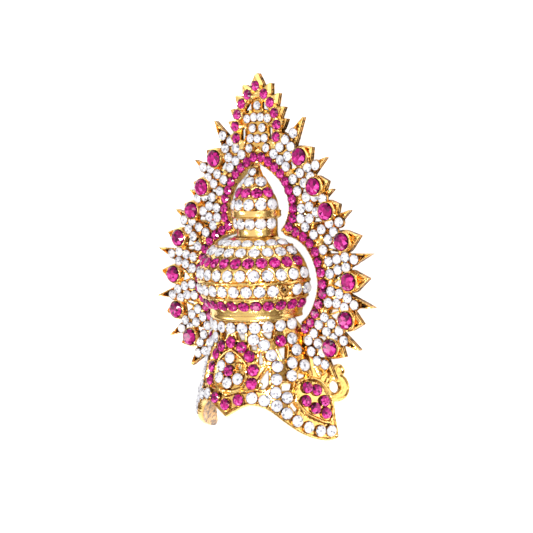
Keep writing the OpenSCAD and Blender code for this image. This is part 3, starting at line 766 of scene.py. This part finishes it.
# Two grooves run round the outer wall: share of the wall's height, and depth in mm
wallRings = [
    (0.2, 0.0), (0.22, 0.5), (0.42, 0.5), (0.44, 0.0),
    (0.6, 0.0), (0.62, 0.5), (0.84, 0.5), (0.86, 0.0),
]
points, faces, surface, edge = reliefSheet(
    halo["span"], halo["pitch"], haloField, haloHeight, haloPlace, haloDepth, wallRings, outerEdge)
# painted shade on the walls: pale in the opening, darker on the outer walls and darkest in their
# grooves
wallShade = haloPaintedShadeLevels["innerWall"] + haloPaintedShadeLevels["outerWall"] * outerEdge(*edge)
grooveShade = haloPaintedShadeLevels["innerWall"] + haloPaintedShadeLevels["outerGroove"] * outerEdge(*edge)
haloPaintedShade = sheetPaintedShade(haloShade(*surface), edge, wallRings, wallShade, grooveShade)
makePiece("haloPlate", points, faces, "gold", ["halo"], haloPaintedShade, sharp=halo["sharp"])
print("stage: halo plate", sum(len(f) for f in faces), "faces")


# Dome and finial, shells turned by half a circle. Their grid is true to size at the reference
# radius, and a cast wire runs between rows that are at least wireGap apart
dome = {
    "height": 0.0, "back": 0.0, "wall": 1.2, "wallShare": 0.7, "reference": 16.0, "pitch": 0.25,
    "ridge": 0.62, "seat": 1.5, "slope": 0.35, "endLift": 0.15, "endRound": 0.6,
    "holeRadius": 0.55, "bareShade": 0.6, "shadeReach": 0.6,
    "wire": 0.42, "wireHalf": 0.4, "wireGap": 3.8, "wireWaves": ((0.1, 1.3), (0.05, 3.1)),
    "lineAside": 0.52, "lineDepth": 0.3, "lineWidth": 0.14,
    "wave": 0.0, "waveReach": 1.6, "curveSteps": 8, "cutGap": 0.1, "sharp": 45, "stone": 3.2,
}
finial = dict(
    dome, height=crown["finialFoot"], back=crown["finialBack"], reference=6.0, ridge=0.45,
    wireGap=9.0, wave=0.14)
# Row and seat of the dome's missing stone, and of the finial's bare seat
domeEmpty, finialEmpty = (1, 12), (4, 2)
# Rows of stones: radius, height, face angle, stones, step in degrees
domeRows = [
    (15.1, -6.3, -28, 14, 12.9), (16.8, -2.3, -8, 15, 12.2), (16.8, 1.9, 12, 14, 12.7),
    (15.5, 5.1, 33, 13, 13.2), (13.3, 7.65, 50, 11, 15.9), (10.0, 9.7, 62, 9, 19.5),
]
finialRows = [
    (6.2, 3.9, -4, 6, 26.8), (6.6, 9.15, 12, 6, 28.0), (5.2, 12.25, 32, 5, 33.4),
    (3.4, 15.25, 38, 3, 51.0), (1.67, 18.15, 24, 3, 72.0),
]
# Outlines: radius and height, from the foot up
domeLine = [
    (13.3, -11.6), (14.2, -10.2), (14.0, -9.2), (15.1, -6.3), (16.2, -4.3), (16.8, -2.3),
    (17.1, -0.2), (16.8, 1.9), (16.3, 3.5), (15.5, 5.1), (14.5, 6.4), (13.3, 7.65), (11.8, 8.8),
    (10.0, 9.7), (8.4, 10.4), (7.0, 10.95), (6.5, 11.45),
]
finialLine = [
    (6.45, 0.1), (6.1, 0.6), (6.1, 2.0), (6.2, 3.9), (6.3, 5.3), (7.2, 5.75), (7.75, 6.25),
    (7.15, 6.7), (7.75, 7.15), (7.0, 7.6), (6.75, 8.2), (6.6, 9.15), (6.2, 10.7), (5.2, 12.25),
    (4.5, 13.7), (3.4, 15.25), (2.35, 16.8), (1.67, 18.15), (1.05, 19.35), (0.35, 20.3),
]


def seatAngle(rows, row, seat):
    # degrees from the front: steps from the middle of the row
    stones, step = rows[row][3:]
    return (seat - (stones - 1) / 2) * step


def aboveBand(points):
    # height of lying points over the band's leaning top edge
    x, y, z = np.moveaxis(
        turnedX(points - (0, -crown["halfLength"], crown["restLift"]), crown["restLean"]), -1, 0)
    lean = math.radians(crown["bandLean"])
    return (y - crown["bandTop"]) * math.cos(lean) + (z - crown["axisHeight"]) * math.sin(lean)


def turnedShell(name, node, line, rows, cut, empty, pierced):
    # the outline turned by half a circle round the axis: u is the angle as a length at the
    # reference radius, and v the length along the outline
    path = smoothPath(line, cut["curveSteps"])
    length = np.concatenate([[0], np.cumsum(np.linalg.norm(np.diff(path, axis=0), axis=1))])
    slope = np.gradient(path, length, axis=0)
    rowTable = np.array([row[:2] for row in rows], float)
    seatV = [length[np.argmin(np.linalg.norm(path - row, axis=1))] for row in rowTable]
    reach = math.pi / 2 * cut["reference"]

    def radiusAt(v):
        # the outline's radius at that length along it
        return np.interp(v, length, path[:, 0])

    def place(u, v, h):
        # h goes out square to the outline, and between the first two rows two sines are added
        angle = u / cut["reference"]
        r = radiusAt(v) + h * np.interp(v, length, slope[:, 1])
        z = np.interp(v, length, path[:, 1]) - h * np.interp(v, length, slope[:, 0])
        between = np.clip(1 - np.abs(v - (seatV[0] + seatV[1]) / 2) / cut["waveReach"], 0, 1)
        z = z + cut["wave"] * between * (np.sin(5 * angle) + 0.5 * np.sin(11 * angle + 1))
        out = np.stack([np.sin(angle) * r, -np.cos(angle) * r, z], -1)
        return lying(onDomeAxis(out, cut["height"], cut["back"]))

    def toEmpty(u, v):
        # distance to the bare seat, measured round its row and along the outline
        row, seat = empty
        aside = np.radians(seatAngle(rows, row, seat)) - u / cut["reference"]
        return np.hypot(aside * rows[row][0], v - seatV[row])

    def toSeat(u, v):
        # distance to the nearest seat of any row, measured on the surface
        nearest = np.full(np.shape(u), 1e9)
        angle = np.degrees(u / cut["reference"])
        for row, rowV in enumerate(seatV):
            stones, step = rows[row][3:]
            seat = np.clip(np.round(angle / step + (stones - 1) / 2), 0, stones - 1)
            aside = np.radians(angle - seatAngle(rows, row, seat)) * radiusAt(v)
            nearest = np.minimum(nearest, np.hypot(aside, v - rowV))
        return nearest

    def inside(u, v):
        # distance to the shell's ends, to the band's top edge and to the hole
        edge = np.minimum.reduce([
            u + reach, reach - u, v, length[-1] - v, aboveBand(place(u, v, 0 * v)) - cut["cutGap"],
        ])
        return np.minimum(edge, toEmpty(u, v) - cut["holeRadius"]) if pierced else edge

    def relief(u, v):
        # cups round the seats, and a wavy wire between two rows, with a fine line on each side
        rise = rounded(toSeat(u, v) - cut["seat"], cut["slope"])
        crowned = cut["ridge"] * rise
        (tall, slow), (low, quick) = cut["wireWaves"]
        for under, over in zip(seatV[:-1], seatV[1:]):
            if over - under > cut["wireGap"]:
                wave = tall * np.sin(u * slow) + low * np.sin(u * quick + under)
                middle = (under + over) / 2 + wave
                crowned = crowned + wire(v, cut["wire"], middle, cut["wireHalf"]) * rise
                for side in (-cut["lineAside"], cut["lineAside"]):
                    line = crease(v - middle - side, cut["lineWidth"])
                    crowned = crowned - cut["lineDepth"] * line * rise
        return crowned * rounded(inside(u, v) + cut["endLift"], cut["endRound"])

    def wall(u, v):
        # a share of the radius where the tip is too narrow for the full wall
        return np.minimum(cut["wall"], cut["wallShare"] * radiusAt(v))

    points, faces, (u, v, front), edge = reliefSheet(
        (-reach, reach, 0.0, length[-1]), cut["pitch"], inside, relief, place, wall, plainWall)
    # painted shade: dark in the seats round the stones and pale on the ridges, with the bare seat
    # painted a mid orange
    shade = (cut["ridge"] - front) / (cut["shadeReach"] * cut["ridge"])
    shade = np.where(toEmpty(u, v) < cut["seat"], cut["bareShade"], shade)
    recess = sheetPaintedShade(shade, edge, plainWall)
    makePiece(name, points, faces, "gold", [node], recess, sharp=cut["sharp"])
    print("stage:", name, sum(len(f) for f in faces), "faces")


plainWall = [(0.5, 0.0)]  # one ring halfway down the wall, and no groove
turnedShell("domeShell", "dome", domeLine, domeRows, dome, domeEmpty, True)
turnedShell("finialShell", "finial", finialLine, finialRows, finial, finialEmpty, False)


# Band: u is the distance round from the front, v the height under its top edge. Eyelet, knob and
# holes are discs: distance, height, radius, and their middle's place right and up of there
band = {
    "wrap": math.radians(68), "neck": 13.2, "flare": 7.0, "flareDepth": 32.0, "wall": 1.2,
    "span": (-38.5, 38.5, -36.0, 0.0), "pitch": 0.25, "curveSteps": 6, "footSteps": 5, "sharp": 40,
    "line": 0.7, "lineHalf": 0.42, "rim": 0.45, "rimHalf": 0.42, "edgeDrop": 0.25, "edgeRound": 0.3,
    "eyelet": (34.2, -21.2, 4.2, 0, 0), "eyeletRise": 0.2, "eyeletRound": 0.5, "eyeletFrom": 25,
    "tieHole": (33.4, -21.0, 1.7, 0, 0), "knob": (34.2, -21.2, 1.9, 2.0, 4.4),
    "bareHole": (2.91, -12.4, 0.55, 0, 0),
}
# Painted shade of its front, wall and back, and the places of the painted dark lines past the lines
# and from the edge
bandPaintedShadeLevels = {
    "flat": 0.3, "lineFoot": 0.92, "lineGap": 0.1, "rimFoot": 0.8, "rimPlace": 0.95,
    "wall": 0.4, "back": 0.78,
}
# Outlines of the right half: distance round, and depth under the top edge
bandTopEdge = [(0, 0), (19, 0), (25.2, 8.0), (31.6, 16.6), (33.4, 24.6), (34.6, 33.6)]
bandLowEdge = [
    (0, 25.8), (3.4, 23.9), (5.8, 22.8), (8.1, 22.5), (11, 23.2), (13.9, 24.8), (17.4, 27.6),
    (21.7, 31.0), (25.5, 33.4), (29.7, 35.1), (32.8, 35.6), (34.6, 35.0),
]
bandGaps = [
    [(1.3, 3.2), (4.1, 2.9), (4.1, 5.0), (2.4, 5.0)],
    [(5.7, 6.1), (7.7, 6.1), (7.5, 7.8), (6.2, 7.7)],
    [(8.9, 3.3), (12.0, 3.3), (11.6, 5.0), (10.8, 5.0)],
    [(8.7, 8.1), (9.9, 11.6), (8.7, 11.8), (8.4, 9.9)],
    [(13.7, 8.2), (16.2, 7.7), (16.2, 10.7), (15.3, 11.0)],
    [(11.5, 12.9), (12.0, 17.0), (10.9, 18.4), (9.8, 18.0), (10.5, 16.9), (9.4, 16.2)],
    [(20.6, 15.2), (24.0, 16.5), (20.9, 16.9)],
    [(15.9, 17.4), (19.0, 17.7), (18.7, 19.3), (16.1, 19.2)],
    [(19.6, 22.6), (21.4, 24.8), (20.6, 25.4), (18.9, 23.3)],
    [(26.6, 14.2), (29.4, 17.0), (28.6, 17.2)],
]
leafLine = [(0, 7.7), (2.6, 9.2), (4.6, 11.2), (5.3, 13.6), (5.3, 16.2), (3.6, 18.3), (0, 18.9)]
bracketLine = [(0, 19.9), (3.6, 18.95), (7.2, 18.6), (9.3, 18.3)]
paisleyLine = [
    (20.6, 17.9), (20.1, 20.4), (21.2, 23.2), (24.0, 26.2), (27.6, 28.5), (31.2, 30.1),
    (32.6, 29.0), (32.5, 24.8), (31.0, 21.8), (28.0, 18.7), (24.0, 17.3), (20.6, 17.9),
]
flip = np.array([1, -1])
bandLines = [
    smoothPath(table, band["curveSteps"]) * flip for table in (leafLine, bracketLine, paisleyLine)]
bandHoles = [np.array(gap) * flip for gap in bandGaps]
bandOutline = np.vstack([
    np.array(bandTopEdge) * flip, smoothPath(bandLowEdge, band["footSteps"])[::-1] * flip,
    [(-3.0, -25.8), (-3.0, 0.0)],
])


def bellRadius(depth):
    # from neck to neck + flare by the smooth step 3 t t - 2 t t t
    t = ramp(depth, 0, band["flareDepth"])
    return band["neck"] + band["flare"] * t ** 2 * (3 - 2 * t)


def bellSlope(depth):
    # angle of the wall from upright, from the radii half a millimetre over and under
    return np.arctan(bellRadius(depth + 0.5) - bellRadius(depth - 0.5))


def bandPlace(u, v, h):
    # round the bell to the wrap angle and straight on past it; h along the wall's own slope
    radius, slope = bellRadius(-v), bellSlope(-v)
    angle = np.clip(u / radius, -band["wrap"], band["wrap"])
    straight = u - angle * radius
    out = radius + h * np.cos(slope)
    return lying(onBandAxis(np.stack([
        np.sin(angle) * out + np.cos(angle) * straight,
        np.sin(angle) * straight - np.cos(angle) * out, v + h * np.sin(slope),
    ], -1)))


def roundField(x, y, spot):
    # distance to a flat disc laid against the wall, which slants away from it past eyeletFrom
    distance, height, radius, right, up = spot
    slant = band["wrap"] * (bellRadius(-y) - bellRadius(-height)) * (x > band["eyeletFrom"])
    aside, along = x - distance - slant, (y - height) / math.cos(bellSlope(-height))
    return radius - np.hypot(aside - right, along - up)


def bandField(u, v):
    # the union of wall, eyelets and knobs, less the gaps and holes
    x = np.abs(u)
    plate = np.maximum.reduce([
        polygonField(x, v, bandOutline), roundField(x, v, band["eyelet"]),
        roundField(x, v, band["knob"]),
    ])
    holes = np.maximum.reduce([
        deepest(x, v, bandHoles), roundField(x, v, band["tieHole"]),
        roundField(u, v, band["bareHole"]),
    ])
    return np.minimum(plate, -holes)


def bandHeight(u, v):
    # a flat wall with a wire along its edge, and the drawn lines as half round wires
    x = np.abs(u)
    edge = bandField(u, v)
    rise = wire(edge, band["rim"], band["rimHalf"], band["rimHalf"])
    for line in bandLines:
        rise = np.maximum(rise, wire(pathDistance(x, v, line), band["line"], 0, band["lineHalf"]))
    eyelet = band["eyeletRise"] * rounded(roundField(x, v, band["eyelet"]), band["eyeletRound"])
    return np.maximum(rise, eyelet) - band["edgeDrop"] * (1 - rounded(edge, band["edgeRound"]))


def bandShade(u, v):
    # painted shade: pale flats, with painted dark lines along the feet of the wires and of the edge
    tint, edge = bandPaintedShadeLevels, bandField(u, v)
    line = np.min([pathDistance(np.abs(u), v, path) for path in bandLines], axis=0)
    flat = ramp(line, 0, band["lineHalf"]) * ramp(edge, 0, 2 * band["rimHalf"])
    return np.maximum.reduce([
        tint["flat"] * flat, tint["lineFoot"] * crease(line - band["lineHalf"] - tint["lineGap"]),
        tint["rimFoot"] * crease(edge - tint["rimPlace"]),
    ])


points, faces, surface, edge = reliefSheet(
    band["span"], band["pitch"], bandField, bandHeight, bandPlace, band["wall"], plainWall)
# the band's painted shade, with its wall and back painted darker
bandPaintedShade = sheetPaintedShade(
    bandShade(*surface[:2]), edge, plainWall, wall=bandPaintedShadeLevels["wall"], back=bandPaintedShadeLevels["back"])
makePiece("bandShell", points, faces, "gold", ["band"], bandPaintedShade, sharp=band["sharp"])
print("stage: band shell", sum(len(f) for f in faces), "faces")


# Stones and their cups. The swell is the size of a stone against its eight-sided solid, and a
# cup's outline is (distance out from the stone, height over its foot)
# rimShade is the painted shade at the top of a small cup's rim, so that the cup reads as a dark
# painted outline round its stone
stones = {
    "swell": 1.06, "petalSwell": 1.0, "cupSides": 14, "petalCupSides": 28, "rimShade": 0.72,
    "cupSharp": 50,
}
cupProfile = [(0.3, -0.35), (0.24, 0.3), (0.12, 0.42), (0.04, 0.3), (0.0, -0.35)]
petalCupProfile = [
    (0.6, -1.0), (0.52, 0.1), (0.36, 0.56), (0.22, 0.68), (0.1, 0.62), (0.03, 0.4), (0.03, -1.0),
]
cups = {"halo": [], "dome": [], "finial": [], "band": []}


def camel(name):
    # a node's name in camelCase
    first, *rest = name.split("_")
    return first + "".join(word.capitalize() for word in rest)


def addCups(owner, foot, axis, size):
    # a cup round each stone, kept with the others of the piece that carries it
    cups[owner].append(
        ringsAround(foot, axis, size, cupProfile, stones["cupSides"], stones["rimShade"]))


# What carries the cups, by the first word of the stones' node; all others are on the band
owners = {"crest": "halo", "dome": "dome", "finial": "finial"}
cadSlots = {part["node"]: part["material_slot"] for part in frame["record"]["subparts"]}
for index, (node, slot) in enumerate(sorted(cadSlots.items())):
    if slot == "gold":
        continue
    foot, axis, size = seatsOf(node)
    petal = node.startswith("petal")
    swell = stones["petalSwell"] if petal else stones["swell"]
    points, faces = stonesAt(foot, axis, size * swell, 100 + index)
    tone = paintedFacetLights(points, faces, len(foot), size, slot, 200 + index)
    makePiece(camel(node), points, faces, slot, [node], tone=tone)
    if petal:
        cups["halo"].append(ringsAround(foot, axis, size, petalCupProfile, stones["petalCupSides"]))
    else:
        addCups(owners.get(node.split("_")[0], "band"), foot, axis, size)

# The small stones of the halo, which stand on its floors
upward = turnedX(np.array([[0, 0, 1.0]]), -crown["restLean"])
for name, slot, places, seed in (("openingRingStones", "fuchsia", ringPlaces, 11),
                                 ("haloPaveStones", "crystal", pavePlaces, 12)):
    spots = mirrored(places)
    rise = np.full(len(spots), -halo["floor"] + halo["stoneLift"])
    foot, axis = lying(np.column_stack([spots, rise])), np.repeat(upward, len(spots), axis=0)
    size = np.full(len(spots), halo["smallStone"])
    points, faces = stonesAt(foot, axis, size, seed)
    tone = paintedFacetLights(points, faces, len(foot), size, slot, seed + 1)
    makePiece(name, points, faces, slot, tone=tone)
    addCups("halo", foot, axis, size)


def domeSeat(row, seat):
    # foot and outward direction of a seat, by the row's radius, height and face angle
    radius, rise, tilt = domeRows[row][:3]
    turn, tilt = math.radians(seatAngle(domeRows, row, seat)), math.radians(tilt)
    out = np.array([math.sin(turn), -math.cos(turn), 0])
    spot = out * radius + (0, 0, rise)
    ends = lying(onDomeAxis(np.array([spot, spot + out * math.cos(tilt) + (0, 0, math.sin(tilt))])))
    return ends[:1], ends[1:] - ends[:1]


addCups("dome", *domeSeat(*domeEmpty), np.array([dome["stone"]]))  # the cup whose stone is missing
for owner, parts in cups.items():
    points, faces, shade = joinParts(parts)
    makePiece(owner + "Cups", points, faces, "gold", recess=shade, sharp=stones["cupSharp"])
print("stage: stones and cups")


# Studio: a pale floor, soft lights from three sides, and a small lamp at the camera that lights
# the floor behind every gap the camera sees through
# Lights: place and side in metres, and watts
studio = {
    "floor": "#FAFAFA", "floorRoughness": 0.9,
    "floorCorners": [(-3, -3, 0), (3, -3, 0), (3, 3, 0), (-3, 3, 0)],
    "sky": [(0.1, "#66543F"), (0.9, "#FFFEFC")], "skyStrength": 0.95, "wall": "#F4F2EF",
    "lights": [
        ((-0.32, -0.10, 0.42), 0.16, 0.8), ((0.30, 0.34, 0.40), 0.10, 0.4),
        ((0.10, -0.42, 0.30), 0.10, 0.4),
    ],
    "cameraLight": (0.02, 1.9),
}
floorMesh = bpy.data.meshes.new("studioFloor")
floorMesh.from_pydata(studio["floorCorners"], [], [(0, 1, 2, 3)])
floor = addObject("studioFloor", floorMesh)
paper, tree = newMaterial("matteStudioPaper")
matte = addNode(tree, "ShaderNodeBsdfPrincipled", {
    "Base Color": linear(studio["floor"]), "Roughness": studio["floorRoughness"],
})
addNode(tree, "ShaderNodeOutputMaterial", {"Surface": matte.outputs["BSDF"]})
floorMesh.materials.append(paper)

world = bpy.data.worlds.new("softRoom")
bpy.context.scene.world = world
world.use_nodes = True
tree = world.node_tree
tree.nodes.clear()
direction = addNode(tree, "ShaderNodeTexCoord")
upness = addNode(tree, "ShaderNodeSeparateXYZ", {"Vector": direction.outputs["Generated"]})
sky = addNode(tree, "ShaderNodeValToRGB", {"Fac": upness.outputs["Z"]}, studio["sky"])
glow = addNode(tree, "ShaderNodeBackground", {
    "Color": sky.outputs["Color"], "Strength": studio["skyStrength"],
})
# the darker horizon only gives the gold something to reflect; the camera itself sees a pale wall
wall = addNode(tree, "ShaderNodeBackground", {"Color": linear(studio["wall"]), "Strength": 1.0})
seen = addNode(tree, "ShaderNodeLightPath")
room = addNode(tree, "ShaderNodeMixShader", {
    0: seen.outputs["Is Camera Ray"], 1: glow.outputs["Background"], 2: wall.outputs["Background"],
})
addNode(tree, "ShaderNodeOutputWorld", {"Surface": room.outputs["Shader"]})

# Camera of the photo: degrees to the crown's right of its front, above it, and of roll; distance
# and target in mm; the photo's frame is moved 9 of its 533 pixels aside
view = {
    "turn": 37.5, "rise": 3.7, "roll": -0.55, "distance": 391.1, "target": (0, 48.29, 0),
    "lens": 92.47, "sensor": 36, "shift": 9 / 533, "clip": 0.01,
}
turn, rise, roll = (math.radians(view[k]) for k in ("turn", "rise", "roll"))
back = np.array([math.sin(turn) * math.cos(rise), math.sin(rise), math.cos(turn) * math.cos(rise)])
level = np.array([math.cos(turn), 0, -math.sin(turn)])
plumb = np.cross(back, level)
right = math.cos(roll) * level + math.sin(roll) * plumb
up = math.cos(roll) * plumb - math.sin(roll) * level
frameAxes = turnedX(np.array([right, up, back]), -crown["restLean"])
eye = lying(np.array(view["target"]) + view["distance"] * back) / 1000
cameraData = bpy.data.cameras.new("photoCamera")
cameraData.sensor_width = view["sensor"]
cameraData.lens = view["lens"]
cameraData.shift_x = view["shift"]
cameraData.clip_start = view["clip"]
camera = addObject("photoCamera", cameraData)
camera.matrix_world = Matrix([(*frameAxes[:, row], eye[row]) for row in range(3)] + [(0, 0, 0, 1)])
bpy.context.scene.camera = camera
lights = [*studio["lights"], (tuple(eye), *studio["cameraLight"])]
for index, (spot, side, power) in enumerate(lights):
    lamp = bpy.data.lights.new("softbox%d" % index, "AREA")
    lamp.size = side
    lamp.energy = power
    holder = addObject("softbox%d" % index, lamp)
    holder.location = spot
    holder.rotation_euler = (-Vector(spot)).to_track_quat("-Z", "Y").to_euler()
bpy.context.scene.view_settings.view_transform = "Standard"
print("stage: studio and camera")
